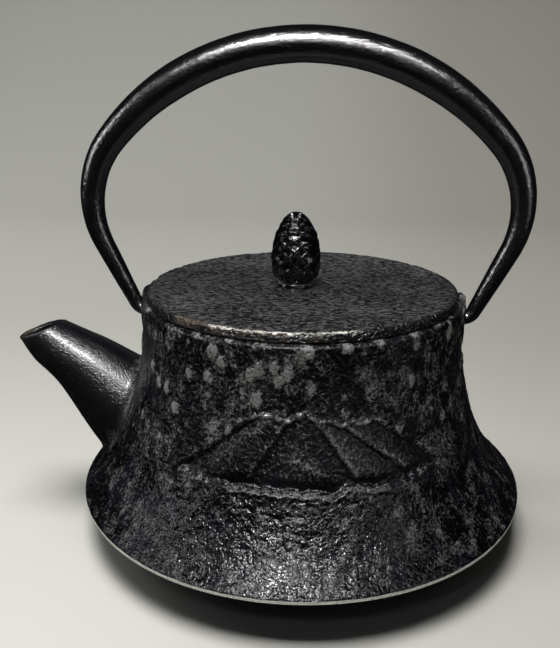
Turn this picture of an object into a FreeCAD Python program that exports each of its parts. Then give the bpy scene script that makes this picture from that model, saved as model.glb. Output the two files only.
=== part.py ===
import FreeCAD
import Part
import os
import Sketcher

# A cast-iron teapot with a bell-shaped body, a short spout, a standing bail handle, a flat lid with a
# pine-cone knob and a steel infuser basket that hangs in the mouth.
# Millimetres. The origin is the middle of the base, on the table. +Z is up, the spout points along -X
# and the handle stands over the spout's plane.

DIMENSIONS = {
    # the pot's outside
    "skirt_radius": 75.0,
    "skirt_low": 13.2,
    "skirt_high": 14.2,
    "flare_radius": 58.3,
    "flare_height": 39.3,
    "flare_bend": 54.9,
    "waist_bend": 121.0,
    "neck_radius": 52.3,
    "neck_height": 76.4,
    "rim_round": 1.4,
    "rim_height": 77.8,
    "base_radius": 45.0,
    "underside_bend": 80.0,
    # the pot's inside and its mouth
    "wall": 3.5,
    "floor_height": 4.0,
    "floor_radius": 44.0,
    "floor_bend": 76.0,
    "corner_radius": 69.0,
    "corner_height": 15.2,
    "inner_flare_radius": 54.97,
    "inner_flare_height": 38.21,
    "shoulder_radius": 49.7,
    "shoulder_height": 62.0,
    "mouth_radius": 38.0,
    "mouth_low": 72.6,
    "seat_radius": 41.5,
    "seat_depth": 1.2,
    # the ears that stand beside the lid: slices of a ring with a round outline
    "ear_inner_radius": 51.3,
    "ear_outer_radius": 53.5,
    "ear_low": 60.0,
    "ear_top": 79.2,
    "ear_edge": 1.6,
    "ear_outline": 8.7,
    # the handle
    "pivot_height": 71.0,
    "crown_centre": 74.74,
    "crown_bend": 81.06,
    "crown_half_angle": 49.57,
    "side_bend": 31.74,
    "leg_angle": 25.5,
    "foot_bend": 4.0,
    "foot_radius": 2.35,
    "pin_tip": 46.6,
    "socket_radius": 2.43,
    "socket_end": 46.0,
    # half of the handle's thickness, by degrees from the crown and then by percent of the way down the leg
    "bail_radius_0": 5.45,
    "bail_radius_15": 5.5,
    "bail_radius_30": 5.45,
    "bail_radius_42": 4.95,
    "bail_radius_60": 4.45,
    "bail_radius_75": 4.15,
    "bail_radius_90": 3.8,
    "bail_radius_103": 3.5,
    "leg_radius_0": 3.25,
    "leg_radius_36": 3.0,
    "leg_radius_64": 2.7,
    "leg_radius_100": 2.35,
    # the spout's rings, from the mouth to the root: middle, tilt and half sizes
    "mouth_ring_x": -91.7,
    "mouth_ring_z": 62.8,
    "mouth_ring_tilt": 19.5,
    "mouth_ring_high": 8.4,
    "mouth_ring_wide": 6.6,
    "neck_ring_x": -84.75,
    "neck_ring_z": 56.75,
    "neck_ring_tilt": 26.0,
    "neck_ring_high": 11.05,
    "neck_ring_wide": 8.4,
    "throat_ring_x": -76.05,
    "throat_ring_z": 50.25,
    "throat_ring_tilt": 36.1,
    "throat_ring_high": 12.3,
    "throat_ring_wide": 10.6,
    "root_ring_x": -62.3,
    "root_ring_z": 36.6,
    "root_ring_tilt": 44.6,
    "root_ring_high": 17.2,
    "root_ring_wide": 14.5,
    "deep_ring_x": -50.0,
    "deep_ring_z": 25.5,
    "deep_ring_tilt": 46.0,
    "deep_ring_high": 21.0,
    "deep_ring_wide": 17.5,
    "spout_wall": 2.8,
    "mouth_overrun": 1.0,
    # the lid
    "lid_radius": 51.0,
    "lid_low": 77.9,
    "lid_top": 81.0,
    "lid_edge": 0.9,
    "lid_ring_outer": 36.2,
    "lid_ring_inner": 33.2,
    "lid_ring_low": 71.9,
    # the knob and what holds it; the knob stands a little off the lid's middle, towards the spout
    "knob_shift": -1.9,
    "collar_radius": 6.0,
    "collar_top": 82.3,
    "knob_top": 105.1,
    "knob_radius": 8.15,
    "knob_waist": 89.2,
    "knob_neck": 5.4,
    "knob_tip": 3.2,
    "knob_tip_rise": 0.9,
    "knob_lower_bend": 8.5,
    "knob_upper_bend": 25.2,
    "stud_radius": 2.0,
    "stud_low": 73.3,
    "stud_top": 91.0,
    "washer_radius": 5.0,
    "washer_low": 76.9,
    "nut_flats": 7.0,
    "nut_low": 73.9,
    # the infuser basket
    "flange_radius": 41.0,
    "flange_low": 76.7,
    "flange_top": 77.8,
    "basket_radius": 37.4,
    "basket_sheet": 0.7,
    "rim_low": 68.8,
    "mesh_sheet": 0.5,
    "mesh_low": 40.0,
    "hoop_low": 38.6,
    "hoop_high": 42.0,
    "hoop_sheet": 0.4,
    "hoop_lip": 7.0,
}

# where the handle's thickness is given: degrees from the crown, and percent of the way down the leg
CROWN_ANGLES = (0, 15, 30, 42)
SIDE_ANGLES = (60, 75, 90, 103)
LEG_PERCENTS = (0, 36, 64, 100)
FULL_TURN = 360.0
LONG = 400.0


def new_sheet(doc):
    """The spreadsheet of driving dimensions, one per row, each with its name as alias."""
    sheet = doc.addObject("Spreadsheet::Sheet", "Sizes")
    for row, (name, value) in enumerate(DIMENSIONS.items(), start=1):
        sheet.set(f"A{row}", name.replace("_", " "))
        sheet.set(f"B{row}", str(value))
        sheet.setAlias(f"B{row}", name)
    doc.recompute()
    return sheet


def cell(expression):
    """The expression with each dimension's name led by the sheet's."""
    words = []
    word = ""
    for letter in expression + " ":
        if letter.isalnum() or letter == "_":
            word += letter
            continue
        words.append(f"Sizes.{word}" if word in DIMENSIONS else word)
        words.append(letter)
        word = ""
    return "".join(words).strip()


def number(doc, expression):
    """What the expression comes to with the sheet's present values."""
    return float(doc.Sizes.evalExpression(cell(expression)))


def bind(thing, **sizes):
    """Binds each named property of thing to an expression of the sheet's cells."""
    for name, expression in sizes.items():
        thing.setExpression(name, cell(expression))
    return thing


def new_body(doc, name):
    return doc.addObject("PartDesign::Body", name)


def new_sketch(body, name, role):
    """An empty sketch on one of the body's own origin planes."""
    plane = next(f for f in body.Origin.OriginFeatures if f.Role == role)
    sketch = body.newObject("Sketcher::SketchObject", name)
    sketch.AttachmentSupport = [(plane, "")]
    sketch.MapMode = "FlatFace"
    return sketch


def arc_between(start, end, bend):
    """The short arc from start to end, its centre on the left for a positive bend."""
    chord = end - start
    middle = (start + end) * 0.5
    left = FreeCAD.Vector(-chord.y, chord.x, 0)
    left.normalize()
    rise = (bend * bend - chord.Length ** 2 / 4) ** 0.5
    centre = middle + left * (rise if bend > 0 else -rise)
    outward = middle - centre
    outward.normalize()
    return Part.Arc(start, centre + outward * abs(bend), end)


def pin_point(sketch, piece, end, corner):
    """Holds one end of a piece of outline at its corner's place."""
    for kind, axis, place in (("DistanceX", -2, corner[0]), ("DistanceY", -1, corner[1])):
        if place == "0":
            sketch.addConstraint(Sketcher.Constraint("PointOnObject", piece, end, axis))
            continue
        value = number(sketch.Document, place)
        held = sketch.addConstraint(Sketcher.Constraint(kind, -1, 1, piece, end, value))
        sketch.setExpression(f"Constraints[{held}]", cell(place))


def draw_outline(sketch, corners):
    """A closed outline. Each corner is (x, y), or (x, y, bend) where an arc leads to the next one."""
    doc = sketch.Document
    points = [FreeCAD.Vector(number(doc, c[0]), number(doc, c[1]), 0) for c in corners]
    ends = []
    for i, corner in enumerate(corners):
        start, end = points[i], points[(i + 1) % len(points)]
        if len(corner) == 2:
            piece = sketch.addGeometry(Part.LineSegment(start, end))
            first, last = 1, 2
        else:
            bend = number(doc, corner[2])
            piece = sketch.addGeometry(arc_between(start, end, bend))
            first, last = (1, 2) if bend > 0 else (2, 1)
            size = sketch.addConstraint(Sketcher.Constraint("Radius", piece, abs(bend)))
            sketch.setExpression(f"Constraints[{size}]", cell(f"abs({corner[2]})"))
        pin_point(sketch, piece, first, corner)
        ends.append((piece, first, last))
    for (piece, _, last), (following, first, _) in zip(ends, ends[1:] + ends[:1]):
        sketch.addConstraint(Sketcher.Constraint("Coincident", piece, last, following, first))


def lathe(doc, name, corners):
    """A body turned about the Z axis from an outline of (radius, height) corners."""
    body = new_body(doc, name)
    sketch = new_sketch(body, name + "_outline", "XZ_Plane")
    draw_outline(sketch, corners)
    turned = body.newObject("PartDesign::Revolution", name + "_turned")
    turned.Profile = sketch
    turned.ReferenceAxis = (sketch, ["V_Axis"])
    turned.Angle = FULL_TURN
    sketch.Visibility = False
    doc.recompute()
    return body


def ring(doc, name, inner, outer, low, high):
    """A plain ring, washer or tube."""
    return lathe(doc, name, [(inner, low), (outer, low), (outer, high), (inner, high)])


def upright(doc, name, radius, low, high):
    """A plain round bar on the Z axis."""
    bar = doc.addObject("Part::Cylinder", name)
    bind(bar, Radius=radius, Height=f"{high} - {low}")
    bar.setExpression("Placement.Base.z", cell(low))
    return bar


def cut(doc, name, base, tool):
    result = doc.addObject("Part::Cut", name)
    result.Base = base
    result.Tool = tool
    return result


def fuse(doc, name, shapes):
    result = doc.addObject("Part::MultiFuse", name)
    result.Shapes = shapes
    result.Refine = True
    return result


def outer_wall():
    """The bell wall's outside, from the skirt's edge up to the neck, as outline corners."""
    return [
        ("base_radius", "0", "underside_bend"),
        ("skirt_radius", "skirt_low"),
        ("skirt_radius", "skirt_high", "-flare_bend"),
        ("flare_radius", "flare_height", "-waist_bend"),
        ("neck_radius", "neck_height", "rim_round"),
        ("neck_radius - rim_round", "rim_height"),
    ]


def pot_envelope(doc):
    """The pot's outside as one solid, which trims the spout's root."""
    return lathe(doc, "pot_envelope", outer_wall() + [("0", "rim_height"), ("0", "0")])


def pot_blank(doc):
    """The hollow pot without its ears, before the sockets and the spout's hole are cut."""
    mouth = [
        ("seat_radius", "rim_height"),
        ("seat_radius", "rim_height - seat_depth"),
        ("mouth_radius", "rim_height - seat_depth"),
        ("mouth_radius", "mouth_low"),
    ]
    cavity = [
        ("shoulder_radius", "shoulder_height", "waist_bend + wall"),
        ("inner_flare_radius", "inner_flare_height", "flare_bend + wall"),
        ("corner_radius", "corner_height", "-floor_bend"),
        ("floor_radius", "floor_height"),
        ("0", "floor_height"),
        ("0", "0"),
    ]
    return lathe(doc, "pot_blank", outer_wall() + mouth + cavity)


def ears(doc):
    """Two upright lugs with round tops, cut from a ring by a bar that lies along the X axis."""
    band = lathe(doc, "ear_band", [
        ("ear_inner_radius", "ear_low"),
        ("ear_outer_radius", "ear_low"),
        ("ear_outer_radius", "ear_top - ear_edge", "ear_edge"),
        ("ear_outer_radius - ear_edge", "ear_top"),
        ("ear_inner_radius", "ear_top"),
    ])
    bar = doc.addObject("Part::Cylinder", "ear_bar")
    bind(bar, Radius="ear_outline", Height=str(LONG))
    bar.Placement.Rotation = FreeCAD.Rotation(FreeCAD.Vector(0, 1, 0), 90.0)
    bar.Placement.Base.x = -LONG / 2
    bar.setExpression("Placement.Base.z", cell("ear_top - ear_outline"))
    lugs = doc.addObject("Part::Common", "ears")
    lugs.Base = band
    lugs.Tool = bar
    return lugs


def socket(doc, name, side):
    """A blind hole in the rim for one of the handle's ends. side is 1 or -1."""
    hole = doc.addObject("Part::Cylinder", name)
    bind(hole, Radius="socket_radius", Height="ear_outer_radius - socket_end + wall")
    hole.Placement.Rotation = FreeCAD.Rotation(FreeCAD.Vector(0, 1, 0), 90.0 * side)
    hole.setExpression("Placement.Base.x", cell(f"{side} * socket_end"))
    hole.setExpression("Placement.Base.z", cell("pivot_height"))
    return hole


def spout_loft(doc, name, rings, wall, mouth_shift):
    """A smooth tube through the named rings, drawn in by wall. mouth_shift moves its mouth outwards."""
    sections = []
    for place in rings:
        section = doc.addObject("Part::Ellipse", f"{name}_{place}")
        shift = mouth_shift if place == "mouth" else "0"
        tilt = f"{place}_ring_tilt"
        bind(
            section,
            MajorRadius=f"{place}_ring_high - {wall}",
            MinorRadius=f"{place}_ring_wide - {wall}",
            Placement=(
                f"placement(vector({place}_ring_x - {shift} * sin({tilt}); 0;"
                f" {place}_ring_z + {shift} * cos({tilt}));"
                f" rotation(vector(0; 1; 0); -{tilt}))"
            ),
        )
        sections.append(section)
    loft = doc.addObject("Part::Loft", name)
    loft.Sections = sections
    loft.Solid = True
    loft.Ruled = False
    return loft


def pot_and_spout(doc):
    """The pot and the spout, which meet face to face on the bell wall's outside."""
    rings = ["mouth", "neck", "throat", "root", "deep"]
    outside = spout_loft(doc, "spout_outside", rings, "0", "0")
    passage = spout_loft(doc, "spout_passage", rings, "spout_wall", "mouth_overrun")
    sockets = [socket(doc, "socket_right", 1), socket(doc, "socket_left", -1)]
    holes = fuse(doc, "pot_holes", [passage] + sockets)
    casting = fuse(doc, "pot_casting", [pot_blank(doc), ears(doc)])
    pot = cut(doc, "pot_shell", casting, holes)
    standing_out = cut(doc, "spout_trimmed", outside, pot_envelope(doc))
    spout = cut(doc, "spout", standing_out, passage)
    return [pot, spout]


def handle_section(doc, name, place_x, place_z, turn, radius):
    """One round section of the bail, square to its centreline."""
    section = doc.addObject("Part::Circle", name)
    bind(
        section,
        Radius=radius,
        Placement=f"placement(vector({place_x}; 0; {place_z}); rotation(vector(0; 1; 0); {turn}))",
    )
    return section


def side_centre():
    """The middle of the right side's bend, as x and z."""
    reach = "(crown_bend - side_bend)"
    return f"({reach} * sin(crown_half_angle))", f"(crown_centre + {reach} * cos(crown_half_angle))"


def leg_top():
    """Where the right side's bend ends and the straight leg begins, as x and z."""
    side_x, side_z = side_centre()
    return f"({side_x} + side_bend * cos(leg_angle))", f"({side_z} - side_bend * sin(leg_angle))"


def foot_cut():
    """How far before the pivot's height line the foot's bend begins, along the leg or the pin."""
    return "(foot_bend * tan((90 - leg_angle) / 2))"


def foot_reach():
    """The x where the foot's bend ends and the pin begins."""
    leg_x, leg_z = leg_top()
    return f"({leg_x} - ({leg_z} - pivot_height) * tan(leg_angle) - {foot_cut()})"


def handle_path():
    """Places down one half of the bail, as (x, z, angle from the crown, thickness radius)."""
    side_x, side_z = side_centre()
    leg_x, leg_z = leg_top()
    leg = f"(({leg_z} - pivot_height) / cos(leg_angle) - {foot_cut()})"
    path = []
    for angle in CROWN_ANGLES:
        x, z = f"crown_bend * sin({angle})", f"crown_centre + crown_bend * cos({angle})"
        path.append((x, z, str(angle), f"bail_radius_{angle}"))
    for angle in SIDE_ANGLES:
        x, z = f"{side_x} + side_bend * sin({angle})", f"{side_z} + side_bend * cos({angle})"
        path.append((x, z, str(angle), f"bail_radius_{angle}"))
    for percent in LEG_PERCENTS:
        down = f"{percent} / 100 * {leg}"
        x, z = f"{leg_x} - {down} * sin(leg_angle)", f"{leg_z} - {down} * cos(leg_angle)"
        path.append((x, z, "90 + leg_angle", f"leg_radius_{percent}"))
    return path


def handle_foot(doc):
    """The right end of the bail: a bend and the pin that turns in the socket."""
    bend = doc.addObject("Part::Torus", "foot_bend_ring")
    bind(bend, Radius1="foot_bend", Radius2="foot_radius", Angle3="90 - leg_angle")
    down, out = FreeCAD.Vector(0, 0, -1), FreeCAD.Vector(1, 0, 0)
    bend.Placement.Rotation = FreeCAD.Rotation(down, out, down.cross(out))
    bend.setExpression("Placement.Base.x", cell(foot_reach()))
    bend.setExpression("Placement.Base.z", cell("pivot_height + foot_bend"))
    pin = doc.addObject("Part::Cylinder", "foot_pin")
    bind(pin, Radius="foot_radius", Height=f"{foot_reach()} - pin_tip")
    pin.Placement.Rotation = FreeCAD.Rotation(FreeCAD.Vector(0, 1, 0), 90.0)
    pin.setExpression("Placement.Base.x", cell("pin_tip"))
    pin.setExpression("Placement.Base.z", cell("pivot_height"))
    return fuse(doc, "handle_foot_right", [bend, pin])


def handle_bail(doc):
    """The standing bail, thick at the crown and thin at the ends."""
    sections = []
    path = handle_path()
    for i, (x, z, angle, radius) in enumerate(reversed(path)):
        sections.append(handle_section(doc, f"bail_left_{i}", f"-({x})", z, f"90 - ({angle})", radius))
    for i, (x, z, angle, radius) in enumerate(path[1:]):
        sections.append(handle_section(doc, f"bail_right_{i}", x, z, f"90 + {angle}", radius))
    arch = doc.addObject("Part::Loft", "handle_arch")
    arch.Sections = sections
    arch.Solid = True
    arch.Ruled = False
    right = handle_foot(doc)
    left = doc.addObject("Part::Mirroring", "handle_foot_left")
    left.Source = right
    left.Normal = (1, 0, 0)
    return [fuse(doc, "handle_bail", [arch, right, left])]


def shifted(thing):
    """Moves a piece made about the Z axis to the knob's own place."""
    thing.setExpression("Placement.Base.x", cell("knob_shift"))
    return thing


def lid_plate(doc):
    """The lid, with a locating ring underneath and a hole for the stud."""
    disc = lathe(doc, "lid_disc", [
        ("0", "lid_low"),
        ("lid_ring_inner", "lid_low"),
        ("lid_ring_inner", "lid_ring_low"),
        ("lid_ring_outer", "lid_ring_low"),
        ("lid_ring_outer", "lid_low"),
        ("lid_radius - lid_edge", "lid_low", "lid_edge"),
        ("lid_radius", "lid_low + lid_edge"),
        ("lid_radius", "lid_top - lid_edge", "lid_edge"),
        ("lid_radius - lid_edge", "lid_top"),
        ("0", "lid_top"),
    ])
    hole = shifted(upright(doc, "lid_hole", "stud_radius", "washer_low", "collar_top"))
    return cut(doc, "lid_plate", disc, hole)


def knob_parts(doc):
    """The knob and its collar, and the stud, washer and nut that hold it."""
    tip_bend = "(knob_tip^2 + knob_tip_rise^2) / (2 * knob_tip_rise)"
    collar = ring(doc, "knob_collar", "stud_radius", "collar_radius", "lid_top", "collar_top")
    knob = lathe(doc, "lid_knob", [
        ("stud_radius", "collar_top"),
        ("knob_neck", "collar_top", "knob_lower_bend"),
        ("knob_radius", "knob_waist", "knob_upper_bend"),
        ("knob_tip", "knob_top - knob_tip_rise", tip_bend),
        ("0", "knob_top"),
        ("0", "stud_top"),
        ("stud_radius", "stud_top"),
    ])
    stud = upright(doc, "knob_stud", "stud_radius", "stud_low", "stud_top")
    washer = ring(doc, "knob_washer", "stud_radius", "washer_radius", "washer_low", "lid_low")
    block = doc.addObject("Part::Prism", "nut_block")
    block.Polygon = 6
    bind(block, Circumradius="nut_flats / 2 / cos(30)", Height="washer_low - nut_low")
    block.setExpression("Placement.Base.z", cell("nut_low"))
    hole = upright(doc, "nut_hole", "stud_radius", "stud_low", "lid_low")
    nut = cut(doc, "knob_nut", block, hole)
    return [shifted(piece) for piece in (collar, knob, stud, washer, nut)]


def infuser_parts(doc):
    """The basket: a flanged rim, the mesh wall and floor, and the hoop that binds the two."""
    inner = "basket_radius - basket_sheet"
    rim = lathe(doc, "infuser_rim", [
        (inner, "rim_low"),
        ("basket_radius", "rim_low"),
        ("basket_radius", "flange_low"),
        ("flange_radius", "flange_low"),
        ("flange_radius", "flange_top"),
        (inner, "flange_top"),
    ])
    mesh_inner = "basket_radius - mesh_sheet"
    wall = ring(doc, "infuser_wall", mesh_inner, "basket_radius", "mesh_low", "rim_low")
    low = upright(doc, "infuser_floor", mesh_inner, "mesh_low", "mesh_low + mesh_sheet")
    hoop = lathe(doc, "infuser_floor_ring", [
        ("basket_radius - hoop_lip", "hoop_low"),
        ("basket_radius + hoop_sheet", "hoop_low"),
        ("basket_radius + hoop_sheet", "hoop_high"),
        ("basket_radius", "hoop_high"),
        ("basket_radius", "mesh_low"),
        ("basket_radius - hoop_lip", "mesh_low"),
    ])
    return [rim, wall, low, hoop]


def check(doc, parts):
    """Stops if anything failed to build or a sub-part is not one sound solid."""
    for thing in doc.Objects:
        if "Invalid" in thing.State or "Error" in thing.State:
            raise RuntimeError(f"{thing.Name} did not build: {thing.State}")
    for part in parts:
        shape = part.Shape
        if shape.isNull() or not shape.isValid():
            raise RuntimeError(f"{part.Label} has no valid shape")
        if len(shape.Solids) != 1:
            raise RuntimeError(f"{part.Label} has {len(shape.Solids)} solids")
        size = shape.optimalBoundingBox(False, False)
        print(f"{part.Label:20s} {shape.Volume:10.1f} mm3  x {size.XMin:7.2f} {size.XMax:7.2f}"
              f"  y {size.YMin:7.2f} {size.YMax:7.2f}  z {size.ZMin:7.2f} {size.ZMax:7.2f}")


def main():
    doc = FreeCAD.newDocument("teapot")
    new_sheet(doc)
    parts = pot_and_spout(doc) + handle_bail(doc) + [lid_plate(doc)] + knob_parts(doc)
    parts += infuser_parts(doc)
    doc.recompute()
    check(doc, parts)
    os.makedirs("parts", exist_ok=True)
    for part in parts:
        part.Shape.exportStep(os.path.join("parts", part.Label + ".step"))


main()
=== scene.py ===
"""The looks of a cast-iron teapot: mottled bell body, spout, bail handle, lid with a pine-cone knob, infuser."""

import itertools
import math

import bmesh
import bpy
import numpy as np
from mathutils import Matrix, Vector


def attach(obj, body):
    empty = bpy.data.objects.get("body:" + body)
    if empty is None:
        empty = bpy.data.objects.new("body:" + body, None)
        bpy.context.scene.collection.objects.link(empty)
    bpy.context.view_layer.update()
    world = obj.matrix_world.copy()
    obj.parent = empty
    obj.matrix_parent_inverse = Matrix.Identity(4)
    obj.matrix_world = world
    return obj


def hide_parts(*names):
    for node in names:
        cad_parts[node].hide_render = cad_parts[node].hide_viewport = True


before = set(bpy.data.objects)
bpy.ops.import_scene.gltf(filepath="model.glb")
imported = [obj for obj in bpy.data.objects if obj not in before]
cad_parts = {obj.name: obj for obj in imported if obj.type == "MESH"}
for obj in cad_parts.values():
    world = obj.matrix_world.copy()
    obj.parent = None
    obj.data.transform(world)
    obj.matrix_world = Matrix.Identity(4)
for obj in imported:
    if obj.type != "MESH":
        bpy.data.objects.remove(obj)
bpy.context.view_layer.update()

MM = 0.001

# ---- sizes, in millimetres, as in the CAD
SKIRT = (75.0, 14.2)
SKIRT_LOW = (75.0, 13.2)
FLARE_TOP = (58.3, 39.3)
NECK_TOP = (52.3, 76.4)
RIM_ROUND = 1.4
RIM_HEIGHT = 77.8
FLARE_BEND = 54.9
WAIST_BEND = 121.0
UNDERSIDE_BEND = 80.0
BASE_RADIUS = 45.0
SEAT_RADIUS = 41.5
SEAT_DEPTH = 1.2
MOUTH_RADIUS = 38.0
MOUTH_LOW = 72.6
SHOULDER = (49.7, 62.0)
INNER_FLARE = (54.97, 38.21)
CORNER = (69.0, 15.2)
FLOOR = (44.0, 4.0)
WALL = 3.5
FLOOR_BEND = 76.0

EAR_INNER = 51.3
EAR_OUTER = 53.5
EAR_TOP = 79.2
EAR_OUTLINE = 8.7
EAR_EDGE = 1.0  # softer in the CAD
SOCKET_RADIUS = 2.43
SOCKET_END = 46.0

PIVOT_HEIGHT = 71.0
CROWN_CENTRE = 74.74
CROWN_BEND = 81.06
CROWN_HALF = 49.57
SIDE_BEND = 31.74
LEG_ANGLE = 25.5
FOOT_BEND = 4.0
PIN_RADIUS = 2.35
PIN_TIP = 46.6
# half of the bail's thickness, by degrees from the crown and then by share of the leg
CROWN_THICKNESS = ((0, 5.45), (15, 5.5), (30, 5.45), (42, 4.95))
SIDE_THICKNESS = ((60, 4.45), (75, 4.15), (90, 3.8), (103, 3.5))
LEG_THICKNESS = ((0, 3.25), (0.36, 3.0), (0.64, 2.7), (1, PIN_RADIUS))

# the spout's rings from the mouth to the root: x, z, tilt in degrees, half height, half width
SPOUT_RINGS = (
    (-91.7, 62.8, 19.5, 8.4, 6.6),
    (-84.75, 56.75, 26.0, 11.05, 8.4),
    (-76.05, 50.25, 36.1, 12.3, 10.6),
    (-62.3, 36.6, 44.6, 17.2, 14.5),
    (-50.0, 25.5, 46.0, 21.0, 17.5),
)
SPOUT_WALL = 2.8

LID_RADIUS = 51.0
LID_LOW = 77.9
LID_TOP = 81.0
LID_EDGE = 0.9
LID_RING = (33.2, 36.2, 71.9)
KNOB_X = -1.9
COLLAR_RADIUS = 6.0
COLLAR_TOP = 82.3
COLLAR_BORE = 2.05
# the knob's outline without its scales, as (height, radius)
KNOB_OUTLINE = (
    (COLLAR_TOP, 5.3), (83.0, 6.1), (84.4, 7.2), (86.5, 7.8), (89.0, 7.9), (91.8, 7.75), (95.0, 7.25),
    (97.8, 6.5), (100.9, 5.1), (102.6, 4.05), (103.9, 2.8), (104.7, 1.5), (105.15, 0.0),
)
# how many rows of scales lie below a height, as (height, rows)
SCALE_ROWS = (
    (COLLAR_TOP, 0.0), (86, 0.8), (91, 1.95), (95, 3.0), (98.5, 4.1), (101.5, 5.3), (103.5, 6.4), (105.1, 7.6),
)
SCALES_AROUND = 10

BASKET_RADIUS = 37.4
MESH_SHEET = 0.5
MESH_LOW = 40.0
RIM_LOW = 68.8
FLANGE = (41.0, 76.7, 77.8)
RIM_SHEET = 0.7
HOOP = (30.4, 37.8, 38.6, 42.0)


# ---- curves and noise
def circle(columns):
    """Angles all the way round."""
    return 2 * math.pi * np.arange(columns) / columns


def table(pairs, x):
    """What a table of (x, value), in rising order, holds at x."""
    return np.interp(x, *np.array(pairs).T)


def arc(start, end, bend, count):
    """Points of the short arc from start to end, both included, its centre on the left for a positive bend."""
    start, end = np.array(start, float), np.array(end, float)
    chord = end - start
    left = np.array([-chord[1], chord[0]]) / np.linalg.norm(chord)
    rise = math.sqrt(bend * bend - chord @ chord / 4)
    centre = (start + end) / 2 + left * (rise if bend > 0 else -rise)
    first = math.atan2(*(start - centre)[::-1])
    last = math.atan2(*(end - centre)[::-1])
    turn = (last - first + math.pi) % (2 * math.pi) - math.pi
    angles = first + turn * np.linspace(0, 1, count)
    return centre + abs(bend) * np.stack([np.cos(angles), np.sin(angles)], 1)


def joined(*pieces):
    """One run of points from several that meet end to start."""
    return np.concatenate([pieces[0]] + [p[1:] for p in pieces[1:]])


def path(start, *legs):
    """Points from start along legs, (end, count) for a straight one and (end, count, bend) for an arc."""
    pieces = []
    for end, count, *bend in legs:
        pieces.append(arc(start, end, bend[0], count) if bend else np.linspace(start, end, count))
        start = end
    return joined(*pieces)


def hashed(i, j, k, seed):
    """A repeatable number from 0 to 1 for each whole-number place."""
    n = (i * 374761393 + j * 668265263 + k * 1442695041 + seed * 97463) & 0xFFFFFFFF
    n = ((n ^ (n >> 13)) * 1274126177) & 0xFFFFFFFF
    n = ((n ^ (n >> 15)) * 1103515245) & 0xFFFFFFFF
    return ((n ^ (n >> 16)) & 0xFFFFFF) / 0xFFFFFF


def noise(p, size, seed):
    """Smooth noise from -1 to 1 with lumps about size apart."""
    q = p / size
    base = np.floor(q).astype(np.int64)
    f = q - base
    f = f * f * (3 - 2 * f)
    total = np.zeros(len(p))
    for corner in itertools.product((0, 1), repeat=3):
        c = np.array(corner)
        weight = np.prod(np.where(c == 1, f, 1 - f), axis=1)
        i, j, k = (base + c).T
        total += weight * hashed(i, j, k, seed)
    return 2 * total - 1


def rough(p, size, seed, octaves=3):
    """Noise with finer and weaker lumps on top, about -1 to 1."""
    total, share = np.zeros(len(p)), 1.0
    for octave in range(octaves):
        total += share * noise(p, size / 2.1**octave, seed + octave)
        share *= 0.55
    return total / 1.6


def spots(p, size, seed):
    """Distance, in sizes, to the nearest of scattered points, and that point's own random number."""
    q = p / size
    base = np.floor(q).astype(np.int64)
    nearest = np.full(len(p), 9.0)
    mark = np.zeros(len(p))
    for corner in itertools.product((-1, 0, 1), repeat=3):
        cell = base + np.array(corner)
        i, j, k = cell.T
        point = cell + np.stack([hashed(i, j, k, seed + s) for s in (1, 2, 3)], 1)
        distance = np.linalg.norm(q - point, axis=1)
        closer = distance < nearest
        nearest = np.where(closer, distance, nearest)
        mark = np.where(closer, hashed(i, j, k, seed + 4), mark)
    return nearest, mark


def step(x, low, high):
    """0 below low, 1 above high, smooth between."""
    t = np.clip((x - low) / (high - low), 0, 1)
    return t * t * (3 - 2 * t)


def bell(x, width):
    """1 at zero, falling to nothing within about two widths."""
    return np.exp(-((x / width) ** 2))


# ---- meshes
def weld(mesh, distance, *others):
    """Welds a mesh's points that meet, and those of other meshes taken into it, and turns its faces outwards."""
    bm = bmesh.new()
    for source in (mesh, *others):
        bm.from_mesh(source)
    bmesh.ops.remove_doubles(bm, verts=bm.verts, dist=distance)
    bmesh.ops.recalc_face_normals(bm, faces=bm.faces)
    bm.to_mesh(mesh)
    bm.free()
    mesh.polygons.foreach_set("use_smooth", [True] * len(mesh.polygons))


def new_object(name, points, faces):
    """A smooth mesh object from points in millimetres."""
    mesh = bpy.data.meshes.new(name)
    mesh.from_pydata((np.asarray(points) * MM).tolist(), [], np.asarray(faces).tolist())
    weld(mesh, 1e-7)
    thing = bpy.data.objects.new(name, mesh)
    bpy.context.scene.collection.objects.link(thing)
    return thing


def grid_faces(rows, columns, wrap_rows=False):
    """Quads of a sheet of rows x columns points whose last column meets its first."""
    r = np.arange(rows if wrap_rows else rows - 1)[:, None]
    c = np.arange(columns)[None, :]
    after_r, after_c = (r + 1) % rows, (c + 1) % columns
    a, b = r * columns + c, r * columns + after_c
    d, e = after_r * columns + after_c, after_r * columns + c
    return np.stack([a, b, d, e], -1).reshape(-1, 4)


def tube(name, rings, wrap=False):
    """A mesh through rings of points. The last ring meets the first if wrap is set."""
    rings = np.array(rings)
    return new_object(name, rings.reshape(-1, 3), grid_faces(*rings.shape[:2], wrap))


def lathe_points(profile, columns):
    """Points of a profile of (radius, height) turned about Z."""
    turn = circle(columns)
    r, z = profile[:, 0, None], profile[:, 1, None]
    return np.stack([r * np.cos(turn), r * np.sin(turn), z + 0 * turn], -1)


def lathe(name, profile, columns, wrap=False):
    return tube(name, lathe_points(np.asarray(profile, float), columns), wrap)


def get_points(thing):
    co = np.zeros(len(thing.data.vertices) * 3, np.float32)
    thing.data.vertices.foreach_get("co", co)
    return co.reshape(-1, 3).astype(float) / MM


def set_points(thing, points):
    thing.data.vertices.foreach_set("co", (points * MM).astype(np.float32).ravel())
    thing.data.update()


def paint(thing, name, values):
    """Stores a number at each point, for the material."""
    layer = thing.data.attributes.new(name, "FLOAT", "POINT")
    layer.data.foreach_set("value", np.asarray(values, np.float32))


def outwards(p):
    """The level direction from the Z axis to each point."""
    x, y, _ = p.T
    r = np.maximum(np.hypot(x, y), 1)
    return np.stack([x / r, y / r, 0 * r], 1)


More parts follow.
